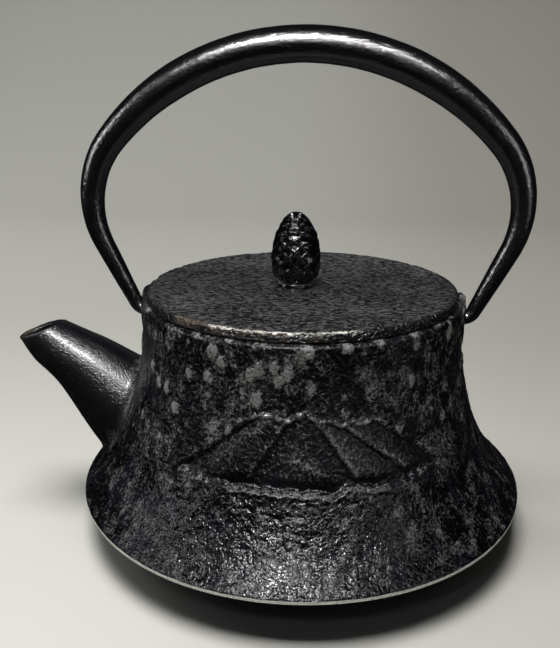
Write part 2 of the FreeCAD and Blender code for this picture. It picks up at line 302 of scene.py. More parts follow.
def combine(thing, other, operation):
    """Adds or cuts away another closed mesh, which is then removed."""
    change = thing.modifiers.new("combine", "BOOLEAN")
    change.operation = operation
    change.solver = "MANIFOLD"
    change.object = other
    apply_modifiers(thing)
    bpy.data.objects.remove(other)


def apply_modifiers(thing):
    bpy.context.view_layer.update()
    graph = bpy.context.evaluated_depsgraph_get()
    made = bpy.data.meshes.new_from_object(thing.evaluated_get(graph))
    thing.modifiers.clear()
    thing.data = made


# ---- the pot's wall
def rows_at(curve, *runs):
    """A curve's points at heights in runs of (start, end, rows), which meet end to start."""
    heights = np.concatenate([np.linspace(*run, endpoint=False) for run in runs] + [runs[-1][1:2]])
    return np.stack([table(curve[:, ::-1], heights), heights], 1)


# closer rows where the relief's ledge and its summit stand
LEDGE_ROWS = (32.6, 38.2, 16)
SUMMIT_ROWS = (54.0, 59.4, 17)
FLARE = rows_at(
    arc(SKIRT, FLARE_TOP, -FLARE_BEND, 800),
    (SKIRT[1], LEDGE_ROWS[0], 33), LEDGE_ROWS, (LEDGE_ROWS[1], FLARE_TOP[1], 2),
)
WAIST = rows_at(
    arc(FLARE_TOP, NECK_TOP, -WAIST_BEND, 800),
    (FLARE_TOP[1], SUMMIT_ROWS[0], 23), SUMMIT_ROWS, (SUMMIT_ROWS[1], NECK_TOP[1], 21),
)
OUTER = joined(FLARE, WAIST)
RIM = arc(NECK_TOP, (NECK_TOP[0] - RIM_ROUND, RIM_HEIGHT), RIM_ROUND, 5)


def wall_radius(z):
    return table(OUTER[:, ::-1], z)


def wall_normal(z):
    """The wall's outward direction at height z, as (out, up)."""
    slope = np.interp(z, OUTER[:, 1], np.gradient(OUTER[:, 0], OUTER[:, 1]))
    length = np.hypot(1, slope)
    return 1 / length, -slope / length


# ridges of the mountain relief, as (distance along the wall, height) from the top down
LEFT_OUTLINE = ((-10.0, 56.2), (-19.0, 49.4), (-29.0, 42.0), (-44.0, 32.0))
LEFT_RIDGE = ((0.5, 56.4), (-3.3, 50.0), (-7.7, 43.7), (-11.0, 38.0))
RIGHT_RIDGE = ((6.6, 57.4), (11.5, 51.4), (15.0, 46.5), (18.6, 42.0), (21.6, 38.0))
SECOND_RIDGE = ((15.6, 55.0), (24.4, 48.1), (31.0, 43.7), (38.0, 38.4))
THIRD_RIDGE = ((27.0, 54.2), (34.3, 49.3), (40.0, 45.6), (50.0, 39.0))
FAR_EDGE = ((44.0, 48.5), (56.0, 47.0), (60.5, 43.0), (59.0, 38.0))
SUMMIT = (
    (-12.0, 55.0), (-8.0, 57.0), (-4.5, 56.9), (-1.0, 55.6), (0.8, 55.8), (3.0, 57.3), (5.2, 57.8),
    (7.2, 56.6), (9.5, 55.4), (12.5, 55.9), (15.0, 54.2), (18.5, 55.0), (21.5, 54.2), (24.5, 55.2),
    (27.5, 54.4), (34.0, 49.9), (40.0, 46.1), (46.0, 48.6), (55.0, 47.6), (60.0, 44.0),
)
GROUND = (
    (-34.0, 37.4), (-24.0, 36.3), (-13.0, 36.5), (-4.0, 36.6), (6.0, 36.2), (12.0, 35.6), (15.0, 35.2),
    (17.5, 37.6), (21.0, 36.9), (26.0, 36.2), (34.0, 35.9), (44.0, 37.6), (52.0, 38.4), (60.0, 39.4),
)
# the relief's depths, in millimetres from the wall
GROOVE = -1.35
CREST = 0.35
RIDGE_SOFT = 0.35
LIP_HEIGHT = 0.66
LEDGE_HEIGHT = 0.6
LEDGE_WIDTH = 1.8


def along(ridge, z):
    """Where a ridge stands at height z."""
    return table(np.array(ridge)[::-1, ::-1], z)


def mountain(u, z):
    """How far the mountain relief stands out at u along the wall and height z, and its masks.

    The masks are the sunk inside, the lips over the summit, the ledge's face, the shade over it and the ridges' rims.
    """
    ridges = (LEFT_OUTLINE, LEFT_RIDGE, RIGHT_RIDGE, SECOND_RIDGE, THIRD_RIDGE, FAR_EDGE)
    left, one, two, three, four, far = (along(ridge, z) for ridge in ridges)
    top = table(SUMMIT, u)
    ground = table(GROUND, u) + 0.22 * np.sin(0.9 * u) + 0.14 * np.sin(2.1 * u + 1.0)

    def share(a, b):
        return np.clip((u - a) / np.maximum(b - a, 0.5), 0, 1)

    west = GROOVE + (CREST - GROOVE) * share(left, one) ** 1.2
    middle = GROOVE + 0.85 * (1 - np.abs(2 * share(one, two) - 1) ** 1.6)
    east = CREST + (GROOVE - CREST) * share(two, three) ** 0.8
    further = CREST + (GROOVE - CREST) * share(three, four) ** 0.7
    last = 0.05 - 0.4 * share(four, far)
    height = west
    for edge, face in ((one, middle), (two, east), (three, further), (four, last)):
        height = height + (face - height) * step(u, edge - RIDGE_SOFT, edge + RIDGE_SOFT)
    ends = step(u, left - 0.3, left + 0.4) * (1 - step(u, far - 1.5, far + 0.5))
    under_top = 1 - step(z, top - 0.5, top + 0.4)
    wavy = ground + 0.45 * rough(np.stack([u, 0 * u, 0 * u], 1), 1.5, 301, 2)
    above_ground = step(z, wavy, wavy + 1.9)
    inside = ends * under_top * above_ground * step(u, -36, -30)
    foot = (1 - step(z, ground + 1.5, ground + 5.0)) * inside * (1 - step(u, 38, 48)) * step(u, -26, -14)
    height = height * inside
    height = height * (1 - foot) + (GROOVE - 0.1) * foot
    # raised lips above the summit and beside the left outline
    lumpy = 0.82 + 0.32 * np.sin(1.45 * u + 0.6) * np.cos(0.53 * u)
    rise = np.clip((top + 1.9 - z) / 1.3, 0, 1) * step(z, top - 0.1, top + 0.4)
    lip = LIP_HEIGHT * lumpy * rise * step(u, -13, -9) * (1 - step(u, 27, 31))
    edge = 0.30 * bell(u - left + 0.8, 0.8) * step(z, 34, 37) * (1 - step(z, 55, 57))
    # a broken ledge along the ground: a mask for its face, painted grey in casting (partly wear, partly painted light),
    # and one for the painted shade above it
    broken = 0.75 + 0.25 * np.sin(0.9 * u) * np.cos(2.3 * u + 1.0)
    down = ground + 1.3 - z
    span = step(u, -20, -14) * (1 - step(u, 26, 36))
    start = step(down, -0.1, 0.25)
    drop = 1 - step(down, LEDGE_WIDTH, LEDGE_WIDTH + 0.35)
    ledge = LEDGE_HEIGHT * np.clip(down / LEDGE_WIDTH, 0, 1) * drop * broken * span
    face = start * drop * (0.6 + 0.4 * broken) * span
    shade = span * step(down, -1.9, -1.5) * (1 - start)
    rims = [bell(u - place, 0.55) for place in (one - 0.9, two + 0.9, three + 0.9, four + 0.9)]
    rim = np.max(rims, axis=0) * inside * step(z, 39.0, 42.0)
    return height + 0.12 * rim + (lip + edge + ledge) * (1 - inside), inside, lip, face, shade, rim


def casting(p):
    """For points on the wall: how far the casting stands out, its wear with painted light and shade on the relief, and
    how shiny.
    """
    x, y, z = p.T
    u = np.arctan2(x, -y) * np.hypot(x, y)
    high = step(z, 36, 56)
    relief, inside, lips, face, shade, rim = mountain(u, z)
    wide = p + 0.8 * np.stack([rough(p, 1.8, 40 + s, 2) for s in range(3)], 1)
    big, mark = spots(wide * (1.0, 1.0, 0.72), 5.0, 7)
    drops = (1 - step(big, 0.20, 0.46)) * (mark > 0.38) * (0.4 + 0.6 * high)
    mid, mark_mid = spots(wide * (1.0, 1.0, 0.85), 2.3, 23)
    flecks = (1 - step(mid, 0.12, 0.6)) * (mark_mid > 0.3)
    cloud = step(rough(p * (1.0, 1.0, 0.75), 3.2, 61, 3), -0.35, 0.5)
    region = 0.6 + 0.4 * step(rough(p, 13.0, 75, 2), -0.45, 0.25)
    patches = np.maximum(1.15 * drops, (0.42 * flecks + 0.62 * cloud) * region)
    # painted light and shade on the mountain: its faces painted grey where they stand out (partly wear, partly painted
    # light), a painted lit band along the left face's outline, painted shade in the grooves and at the foot, and
    # painted highlights along the ridges' rims and an inner ridge
    west = step(u, -36, -8) * (1 - step(u, -6, 2))
    from_outline = u - along(LEFT_OUTLINE, z)
    lit = step(from_outline, 1.0, 2.2) * (1 - step(from_outline, 5.0, 8.5)) * step(z, 40.5, 44)
    faces = 0.05 + 0.55 * step(relief, -1.25, 0.25) * (1 - west) + 0.62 * lit * west + 0.30 * rough(p, 2.0, 90, 3)
    faces = faces * (1 - 0.8 * (1 - step(z, 38.2, 41.5)) * (1 - step(u, 36, 46)))
    inner_ridge_highlight = bell(z - 46.5 + 0.455 * (u - 1), 0.9) * step(u, -1, 2) * (1 - step(u, 10, 13))
    faces = faces + 0.5 * rim * (0.7 + 0.5 * rough(p, 1.5, 95, 2)) + 0.5 * inner_ridge_highlight
    ledge = 0.80 * face * (1 + 0.6 * rough(p, 2.4, 97, 2))
    # painted shade: a dark line under the ledge, where the grey patches are taken out
    below = bell(z - table(GROUND, u) + 1.6, 0.5) * step(u, -16, -11) * (1 - step(u, 8, 13))
    patches_seen = patches * (1 - inside) * (1 - 0.9 * below) * (1 - shade)
    # this holds real wear and also painted light and shade: the faces above, painted highlights on the lips and the
    # ledge's face, and painted shade over the ledge
    wear_and_light = np.maximum(patches_seen + faces * inside, np.maximum(1.7 * lips, ledge)) - 0.6 * shade
    ripple = rough(p * (0.8, 0.8, 1.25), 1.6, 131, 2)
    bumps = 0.38 * drops + 0.12 * patches + (0.22 - 0.12 * high) * ripple + 0.07 * rough(p, 4.5, 151, 2)
    pits, _ = spots(p, 2.1, 171)
    bumps -= 0.18 * (1 - step(pits, 0.18, 0.42))
    shine = np.maximum((1 - step(z, 30, 38)) * (1 - shade), 1.35 * step(lips + 0.3 * face, 0.12, 0.35))
    return relief + bumps * (1 - 0.6 * inside), wear_and_light, shine


def make_pot():
    """The pot with its ears, handle sockets and spout hole, in one closed mesh."""
    seat = RIM_HEIGHT - SEAT_DEPTH
    outside = path((0, 0), ((BASE_RADIUS, 0), 14), (SKIRT_LOW, 20, UNDERSIDE_BEND), (SKIRT, 3))
    inside = path(
        RIM[-1], ((SEAT_RADIUS, RIM_HEIGHT), 5), ((SEAT_RADIUS, seat), 2), ((MOUTH_RADIUS, seat), 2),
        ((MOUTH_RADIUS, MOUTH_LOW), 2), (SHOULDER, 4), (INNER_FLARE, 6, WAIST_BEND + WALL),
        (CORNER, 7, FLARE_BEND + WALL), (FLOOR, 6, -FLOOR_BEND), ((0, FLOOR[1]), 5),
    )
    pot = lathe("pot_body", joined(outside, OUTER, RIM, inside), 640)
    for side in (1, -1):
        combine(pot, make_ear(side), "UNION")
    for side in (1, -1):
        combine(pot, make_pin_hole(side), "DIFFERENCE")
    combine(pot, make_passage(), "DIFFERENCE")
    p = get_points(pot)
    x, y, z = p.T
    r = np.hypot(x, y)
    on_wall = (r > wall_radius(z) - 0.3) & (z > SKIRT[1] - 0.1)
    push, wear_and_light, shine = casting(p)
    calm_rim = 1 - 0.7 * step(z, 75.2, 76.6)
    calm_skirt = 0.35 + 0.65 * step(z, 14.2, 15.4)
    out, up = wall_normal(np.clip(z, SKIRT[1], NECK_TOP[1]))
    normal = outwards(p) * out[:, None]
    normal[:, 2] = up
    move = (push * on_wall * calm_rim * calm_skirt)[:, None] * normal
    groove = 0.30 * bell(z - 75.3, 0.35) * on_wall * (r < wall_radius(z) + 0.4)
    move -= groove[:, None] * outwards(p)
    under = (z > 0.4) & (z < 13.0) & (r > BASE_RADIUS + 0.5) & (r > underside_radius(z) - 0.4)
    move[:, 2] -= 0.14 * rough(p, 3.0, 201, 3) * under
    set_points(pot, p + move)
    paint(pot, "wear_and_light", wear_and_light)
    paint(pot, "shine", shine)
    return pot


def underside_radius(z):
    return table(arc((BASE_RADIUS, 0), SKIRT_LOW, UNDERSIDE_BEND, 20)[:, ::-1], z)


def make_ear(side):
    """A thin lug with a round outline that stands up beside the lid."""
    turn, steps = circle(96), 14
    rings = []
    for share in np.arange(steps + 1) / steps:
        edge = max(0.0, EAR_OUTLINE * share - (EAR_OUTLINE - EAR_EDGE)) / EAR_EDGE
        rings.append((share, EAR_OUTER - EAR_EDGE * (1 - math.sqrt(max(0.0, 1 - edge * edge)))))
    rings += [(1.0, EAR_INNER + 0.25 * (EAR_OUTER - EAR_INNER))] + [(share, EAR_INNER) for share in (0.96, 0.5, 0.0)]
    points = []
    for share, radius in rings:
        y, z = EAR_OUTLINE * share * np.cos(turn), EAR_TOP - EAR_OUTLINE + EAR_OUTLINE * share * np.sin(turn)
        points.append(np.stack([side * np.sqrt(radius**2 - y**2), y, z], 1))
    return tube("ear", points)


def make_pin_hole(side):
    """A round bar that cuts the blind socket of the handle's end."""
    turn, mouth = circle(32), EAR_OUTER + 2
    bar = [(SOCKET_END, 0.0), (SOCKET_END, SOCKET_RADIUS), (mouth, SOCKET_RADIUS), (mouth, 0.0)]
    return tube(
        "pin_hole",
        [np.stack([0 * turn + side * x, r * np.cos(turn), PIVOT_HEIGHT + r * np.sin(turn)], 1) for x, r in bar],
    )


# ---- the spout
def spline(values, t):
    """A smooth curve through values, one per whole t."""
    values = np.asarray(values, float)
    padded = np.concatenate([[2 * values[0] - values[1]], values, [2 * values[-1] - values[-2]]])
    i = np.clip(np.floor(t).astype(int), 0, len(values) - 2)
    f = (t - i)[:, None]
    a, b, c, d = padded[i], padded[i + 1], padded[i + 2], padded[i + 3]
    return b + 0.5 * f * (c - a + f * (2 * a - 5 * b + 4 * c - d + f * (3 * (b - c) + d - a)))


def spout_points(t, turn, wall):
    """Points on the spout at places t along it and angles turn, drawn in by wall, and the way out from its line."""
    x, z, tilt, high, wide = spline(SPOUT_RINGS, t).T
    tilt = np.radians(tilt)
    high, wide = high - wall, wide - wall
    major = np.stack([np.cos(tilt), 0 * tilt, np.sin(tilt)], 1)
    centre = np.stack([x, 0 * x, z], 1)
    minor = np.array([0.0, 1.0, 0.0])
    place = centre + (high * np.cos(turn))[:, None] * major + (wide * np.sin(turn))[:, None] * minor
    out = (wide * np.cos(turn))[:, None] * major + (high * np.sin(turn))[:, None] * minor
    axis = np.stack([-np.sin(tilt), 0 * tilt, np.cos(tilt)], 1)
    return place, out / np.linalg.norm(out, axis=1)[:, None], axis


def wall_gap(p):
    """How far points stand off the pot's wall."""
    z = np.clip(p[:, 2], SKIRT[1], NECK_TOP[1])
    return (np.hypot(p[:, 0], p[:, 1]) - wall_radius(z)) * wall_normal(z)[0]


def make_passage():
    """The hole through the pot's wall into the spout."""
    columns = 64
    rows = [spout_points(np.full(columns, t), circle(columns), SPOUT_WALL)[0] for t in np.linspace(2.3, 4.0, 12)]
    ends = [np.repeat(row.mean(0)[None], columns, 0) for row in (rows[0], rows[-1])]
    return tube("passage", [ends[0]] + rows + [ends[1]])


def make_spout():
    """The spout: outside, rounded lip and passage, flared at its root to meet the wall."""
    columns, fillet, lip_end = 192, 3.6, 0.09
    turn = circle(columns)
    samples = np.linspace(1.5, 4.0, 300)
    gaps = np.array([wall_gap(spout_points(np.full(columns, t), turn, 0.0)[0]) for t in samples])
    last = samples[np.argmax(gaps < -0.35, axis=0)]
    rows = []
    for share in np.concatenate([np.linspace(0, 0.8, 70), np.linspace(0.8, 1, 34)[1:]]):
        t = lip_end + (last - lip_end) * share
        place, out, _ = spout_points(t, turn, 0.0)
        gap = np.clip(wall_gap(place), 0, fillet)
        flare = fillet * (1 - np.sqrt(1 - ((fillet - gap) / fillet) ** 2)) * 0.8
        lumps = 0.02 * rough(place, 2.2, 311, 2) * step(wall_gap(place), 0.2, 2.0)
        rows.append(place + (flare + lumps)[:, None] * out)
    lip = []
    mouth, out, axis = spout_points(np.zeros(columns), turn, 0.0)
    for angle in np.radians(np.arange(0, 181, 15)):
        reach = SPOUT_WALL / 2 * (1 - math.cos(angle))
        rise = 0.9 * math.sin(angle) - 0.9
        wear = 0.12 * noise(mouth, 2.4, 331)
        lip.append(mouth - reach * out + (rise + wear)[:, None] * axis)
    places = [lip_end + (last - 0.05) * share for share in np.linspace(0.02, 1, 40)]
    inside = [spout_points(t, turn, SPOUT_WALL)[0] for t in places]
    spout = tube("spout_body", rows[::-1] + lip + inside, True)
    p = get_points(spout)
    gap = wall_gap(p)
    paint(spout, "wear_and_light", casting(p)[1] * (1 - step(gap, 0.5, 7.0)))
    from_tip = np.linalg.norm(p - np.array([-97.0, 0.0, 60.5]), axis=1)
    paint(spout, "tip", 1 - step(from_tip, 2.0, 9.0))
    return spout


# ---- the handle
def handle_line():
    """Places along the right half of the bail, from the crown to the pin's tip, with the thickness radius."""
    half, leg = math.radians(CROWN_HALF), math.radians(LEG_ANGLE)
    crown_count, side_count = 120, 70
    crown = np.linspace(0, half, crown_count)
    places = [(CROWN_BEND * math.sin(a), CROWN_CENTRE + CROWN_BEND * math.cos(a)) for a in crown]
    reach = CROWN_BEND - SIDE_BEND
    cx, cz = reach * math.sin(half), CROWN_CENTRE + reach * math.cos(half)
    side = np.linspace(half, math.pi / 2 + leg, side_count)[1:]
    places += [(cx + SIDE_BEND * math.sin(a), cz + SIDE_BEND * math.cos(a)) for a in side]
    top = np.array(places[-1])
    cut = FOOT_BEND * math.tan((math.pi / 2 - leg) / 2)
    length = (top[1] - PIVOT_HEIGHT) / math.cos(leg) - cut
    down = np.array([-math.sin(leg), -math.cos(leg)])
    places += [tuple(top + down * length * s) for s in np.linspace(0, 1, 40)[1:]]
    foot_x = top[0] - (top[1] - PIVOT_HEIGHT) * math.tan(leg) - cut
    turn = np.linspace(math.pi / 2 + leg, math.pi, 16)[1:]
    hub = (foot_x, PIVOT_HEIGHT + FOOT_BEND)
    places += [(hub[0] + FOOT_BEND * math.sin(a), hub[1] + FOOT_BEND * math.cos(a)) for a in turn]
    places += [(x, PIVOT_HEIGHT) for x in np.linspace(foot_x, PIN_TIP, 14)[1:]]
    places = np.array(places)
    run = np.concatenate([[0], np.cumsum(np.linalg.norm(np.diff(places, axis=0), axis=1))])
    crown_end, side_end = run[crown_count - 1], run[crown_count + side_count - 2]
    sizes = [(math.radians(a) * CROWN_BEND, r) for a, r in CROWN_THICKNESS]
    sizes += [(crown_end + math.radians(a - CROWN_HALF) * SIDE_BEND, r) for a, r in SIDE_THICKNESS]
    sizes += [(side_end + length * share, r) for share, r in LEG_THICKNESS]
    thick = table(sizes, run)
    blur = 15
    smooth = np.convolve(np.pad(thick, blur // 2, mode="edge"), np.ones(blur) / blur, "valid")
    return places, np.where(run < side_end + length * 0.9, smooth, thick), run


def make_handle():
    """The bail, with an uneven surface that calms towards the pins."""
    half, thick, run = handle_line()
    places = np.concatenate([half[::-1] * np.array([-1, 1]), half[1:]])
    thick = np.concatenate([thick[::-1], thick[1:]])
    away = np.concatenate([run[::-1], run[1:]])
    ahead = np.gradient(places, axis=0)
    ahead /= np.linalg.norm(ahead, axis=1)[:, None]
    columns = 64
    turn = circle(columns)
    centre = np.stack([places[:, 0], 0 * away, places[:, 1]], 1)
    side = np.stack([-ahead[:, 1], 0 * away, ahead[:, 0]], 1)
    out = np.cos(turn)[None, :, None] * side[:, None] + np.sin(turn)[None, :, None] * np.array([0.0, 1.0, 0.0])
    points = centre[:, None] + thick[:, None, None] * out
    flat = points.reshape(-1, 3)
    peel = 0.045 * rough(flat, 2.6, 401, 2) + 0.05 * noise(flat, 9.0, 421) + 0.02 * noise(flat, 1.1, 441)
    calm = 1 - step(np.repeat(away, columns), run[-1] - 14, run[-1] - 9)
    flat = flat + (peel * calm)[:, None] * out.reshape(-1, 3)
    caps = [np.repeat(centre[i][None, None], columns, 1) for i in (0, -1)]
    return tube("bail", np.concatenate([caps[0], flat.reshape(points.shape), caps[1]]))


# ---- the lid and its knob
def make_lid():
    """The lid with bark on its top and a jagged, chipped edge, with a painted highlight along the front of its top
    corner.
    """
    low, top, edge = LID_LOW, LID_TOP, LID_EDGE
    ring_inner, ring_outer, ring_low = LID_RING
    flat = LID_RADIUS - edge
    profile = path(
        (0, low), ((ring_inner, low), 6), ((ring_inner, ring_low), 4), ((ring_outer, ring_low), 3),
        ((ring_outer, low), 4), ((flat, low), 5), ((LID_RADIUS, low + edge), 4, edge),
        ((LID_RADIUS, top - edge), 4), ((flat, top), 5, edge), ((0, top), 82),
    )
    lid = lathe("lid_disc", profile, 480)
    p = get_points(lid)
    x, y, z = p.T
    r = np.hypot(x, y)
    q = p * (0.55, 1.0, 1.0)
    bark = 0.13 * rough(q, 1.5, 501, 2) + 0.08 * rough(q, 3.4, 521, 2)
    facing_up = step(z, top - 0.5, top - 0.05) * (1 - 0.6 * step(-r, -7.5, -6.0))
    edge_zone = step(r, LID_RADIUS - 1.6, LID_RADIUS - 0.5) * step(z, low + 0.2, low + 1.0)
    turn = np.degrees(np.arctan2(x, -y))
    sector = step(turn, -52, -42) * (1 - step(turn, 6, 16))
    upper = step(z, top - 1.5, top - 0.4)
    chip_and_highlight = step(rough(p, 3.6, 541, 3), 0.05, 0.4) * edge_zone * upper
    jag = 0.22 * rough(p, 1.6, 561, 3) * edge_zone
    move = np.zeros_like(p)
    move[:, 2] = (bark - 0.13) * facing_up - 0.28 * chip_and_highlight
    move += (jag - 0.25 * chip_and_highlight - 0.15 * edge_zone)[:, None] * outwards(p)
    set_points(lid, p + move)
    paint(lid, "edge", edge_zone)
    paint(lid, "brown", edge_zone * sector)
    # a painted highlight: a broken pale line along the front of the edge's top corner
    breaks = 0.35 + 0.65 * step(rough(p, 5.0, 591, 2), -0.6, -0.1)
    paint(lid, "chip_and_highlight", step(turn, -29, -23) * (1 - step(turn, 18, 25)) * breaks * edge_zone)
    return lid


def knob_profile():
    """Radius of the knob at heights from its foot to its top, without its scales."""
    heights, radii = np.array(KNOB_OUTLINE).T
    crown = 101.0
    over = (heights[-1] - crown) * np.sin(np.linspace(0, math.pi / 2, 34)[1:])
    z = np.concatenate([np.linspace(COLLAR_TOP, crown, 92), crown + over])
    t = np.interp(z, heights, np.arange(len(heights)))
    r = np.maximum(spline(radii[:, None], t)[:, 0], 0)
    r[-1] = 0.0
    return r, z


def make_knob():
    """The pine cone: two sets of ribs that wind opposite ways, with a leaning dish between them."""
    radius, z = knob_profile()
    foot = np.array([[0.0, COLLAR_TOP]])
    points = lathe_points(np.concatenate([foot, np.stack([radius, z], 1)]), 240)
    p = points.reshape(-1, 3)
    x, y, height = p.T
    r = np.hypot(x, y)
    around = np.arctan2(y, x) / (2 * math.pi) * SCALES_AROUND + 0.13 * noise(p, 4.0, 601)
    rows = table(SCALE_ROWS, height) + 0.12 * noise(p, 4.0, 605)
    one, two = around + rows, around - rows
    near = np.minimum(np.abs(one - np.round(one)), np.abs(two - np.round(two)))
    rib = bell(near, 0.09) * (0.75 + 0.35 * noise(p, 3.0, 607))
    tilt = (one - np.floor(one)) - (two - np.floor(two))
    dish = step(near, 0.08, 0.42)
    push = 0.36 * rib - 0.12 * dish + 0.20 * noise(p, 2.0, 611) - 0.18 * tilt * dish
    body = step(height, 82.6, 84.5) * step(r, 0.3, 2.0)
    slope = np.interp(height, z, np.gradient(radius, z))
    length = np.hypot(1, slope)
    level = np.maximum(r, 0.5) * length
    normal = np.stack([x / level, y / level, -slope / length], 1)
    p = p + (push * body)[:, None] * normal + (KNOB_X, 0, 0)
    return tube("pine_cone", p.reshape(points.shape))


def make_collar():
    low, top, waist, shoulder = LID_TOP, COLLAR_TOP, COLLAR_RADIUS - 0.15, COLLAR_RADIUS - 0.85
    profile = path(
        (COLLAR_BORE, low), ((waist, low), 3), ((COLLAR_RADIUS, low + 0.15), 3, 0.15),
        ((waist, low + 0.6), 4), ((shoulder, top), 6, 0.72), ((COLLAR_BORE, top), 3),
    )
    collar = lathe("collar", profile, 96, wrap=True)
    p = get_points(collar)
    far = step(np.hypot(p[:, 0], p[:, 1]), 3, 5)
    dents = 0.08 * (noise(p, 1.6, 651) - 1) * far
    set_points(collar, p + dents[:, None] * outwards(p) + (KNOB_X, 0, 0))
    # the collar's outer part is painted pale: partly wear, partly a painted highlight at the knob's foot
    paint(collar, "wear_and_light", far)
    return collar


# ---- the infuser
def make_rim():
    inner = BASKET_RADIUS - RIM_SHEET
    reach, low, high = FLANGE
    bead = 0.5
    profile = path(
        (inner, RIM_LOW), ((BASKET_RADIUS, RIM_LOW), 2), ((BASKET_RADIUS, low), 6), ((reach - bead, low), 3),
        ((reach, low + bead), 5, bead), ((reach - bead, high), 6, 0.56), ((inner + 0.9, high), 3),
        ((inner, high - 0.9), 6, 0.9), ((inner, RIM_LOW), 6),
    )
    return lathe("basket_rim", profile, 160, wrap=True)


def pierced(columns, rows, place):
    """A sheet of columns x rows cells, each with a round hole. place turns (across, along) into a point."""
    corner = [(0, 0), (0.5, 0), (1, 0), (1, 0.5), (1, 1), (0.5, 1), (0, 1), (0, 0.5)]
    hole = [(0.5 + 0.31 * math.cos(a), 0.5 + 0.31 * math.sin(a)) for a in np.radians(np.arange(225, 585, 45))]
    points, faces = [], []
    for j in range(rows):
        for i in range(columns):
            first = len(points)
            points += [place(i + a, j + b) for a, b in corner + hole]
            faces += [(first + k, first + (k + 1) % 8, first + 8 + (k + 1) % 8, first + 8 + k) for k in range(8)]
    return points, faces


def make_mesh_wall():
    columns, rows = 146, 18
    low, high = MESH_LOW + 1.2, RIM_LOW
    radius = BASKET_RADIUS - MESH_SHEET / 2

    def place(i, j):
        a = 2 * math.pi * i / columns
        return (radius * math.cos(a), radius * math.sin(a), low + (high - low) * j / rows)

    wall = new_object("basket_wall", *pierced(columns, rows, place))
    skirt = lathe("skirt", [(radius, MESH_LOW + 0.05), (radius, low)], columns)
    merge(wall, skirt)
    thicken(wall, MESH_SHEET * 0.9)
    return wall


def merge(thing, other):
    """Joins another mesh into thing's, which is then removed."""
    weld(thing.data, 2e-6, other.data)
    bpy.data.objects.remove(other)


def thicken(thing, thickness):
    change = thing.modifiers.new("sheet", "SOLIDIFY")
    change.thickness = thickness * MM
    change.offset = 0.0
    apply_modifiers(thing)


def make_mesh_floor():
    """The round pierced floor, in cells that stay inside a plain border."""
    pitch, reach, z = 1.6, BASKET_RADIUS - MESH_SHEET - 0.05, MESH_LOW + MESH_SHEET / 2
    count = int(reach // pitch) + 1
    points, faces = [], []
    for j, i in itertools.product(range(-count, count), repeat=2):
        if math.hypot(i + 0.5, j + 0.5) * pitch > reach - 2.0:
            continue
        cell_points, cell_faces = pierced(1, 1, lambda a, b, i=i, j=j: ((i + a) * pitch, (j + b) * pitch, z))
        faces += [tuple(len(points) + k for k in face) for face in cell_faces]
        points += cell_points
    floor = new_object("basket_floor", points, faces)
    merge(floor, lathe("border", [(reach - 3.0, z), (reach - 1.5, z), (reach, z)], 146))
    thicken(floor, MESH_SHEET * 0.8)
    return floor


def make_hoop():
    """The ring that binds the mesh wall and floor, a channel open towards the wall."""
    inner, outer, low, high = HOOP
    seam = BASKET_RADIUS + 0.03
    profile = path(
        (inner, low + 0.2), ((inner + 0.2, low), 2), ((outer - 0.8, low), 5), ((outer, low + 0.8), 6, 0.8),
        ((outer, high - 0.15), 4), ((outer - 0.1, high), 2), ((seam, high), 2), ((seam, MESH_LOW), 3),
        ((inner, MESH_LOW), 4),
    )
    return lathe("basket_hoop", profile, 146, wrap=True)


# ---- materials
def add(tree, kind, inputs=None, **settings):
    """A node with its settings, and its inputs given as numbers, colours or other nodes' outputs."""
    node = tree.nodes.new("ShaderNode" + kind)
    for name, value in settings.items():
        setattr(node, name, value)
    for key, value in (inputs or {}).items():
        if isinstance(value, bpy.types.NodeSocket):
            tree.links.new(value, node.inputs[key])
        else:
            node.inputs[key].default_value = value
    return node


def new_material(name, **shader_values):
    """A material with one Principled shader, which is returned with its tree and the object's own coordinates."""
    material = bpy.data.materials.new(name)
    material.use_nodes = True
    tree = material.node_tree
    tree.nodes.clear()
    shader = add(tree, "BsdfPrincipled", {k.replace("_", " "): v for k, v in shader_values.items()})
    output = add(tree, "OutputMaterial")
    tree.links.new(shader.outputs["BSDF"], output.inputs["Surface"])
    place = add(tree, "TexCoord").outputs["Object"]
    return material, tree, shader, place


def noise_node(tree, place, scale, detail=3.0, roughness=0.55):
    node = add(tree, "TexNoise", {"Vector": place, "Scale": scale, "Detail": detail, "Roughness": roughness})
    return node.outputs["Fac"]


def stretch(tree, place, scale):
    return add(tree, "Mapping", {"Vector": place, "Scale": scale}).outputs["Vector"]


def between(tree, value, low, high, start=0.0, end=1.0):
    """value's range low..high made start..end, clamped and smooth."""
    values = {"Value": value, "From Min": low, "From Max": high, "To Min": start, "To Max": end}
    return add(tree, "MapRange", values, interpolation_type="SMOOTHSTEP").outputs["Result"]


def scaled(tree, value, low, high):
    """value's 0 to 1 made low to high, in a straight line."""
    return add(tree, "MapRange", {"Value": value, "To Min": low, "To Max": high}).outputs["Result"]


def along_axis(tree, place, axis):
    return add(tree, "SeparateXYZ", {0: place}).outputs[axis]


def calc(tree, operation, a, b=0.0):
    return add(tree, "Math", {0: a, 1: b}, operation=operation).outputs[0]


def times(tree, a, b):
    return calc(tree, "MULTIPLY", a, b)


def mix(tree, share, a, b):
    """Colour a where share is 0 and b where it is 1."""
    node = add(tree, "Mix", {"Factor": share}, data_type="RGBA")
    for key, value in (("A", a), ("B", b)):
        place = next(s for s in node.inputs if s.name == key and s.type == "RGBA")
        if isinstance(value, bpy.types.NodeSocket):
            tree.links.new(value, place)
        else:
            place.default_value = (*value, 1.0)
    return next(s for s in node.outputs if s.type == "RGBA")


def bump(tree, height, strength, distance):
    """A surface that height raises by up to distance, in millimetres."""
    return add(tree, "Bump", {"Height": height, "Strength": strength, "Distance": distance * MM}).outputs["Normal"]


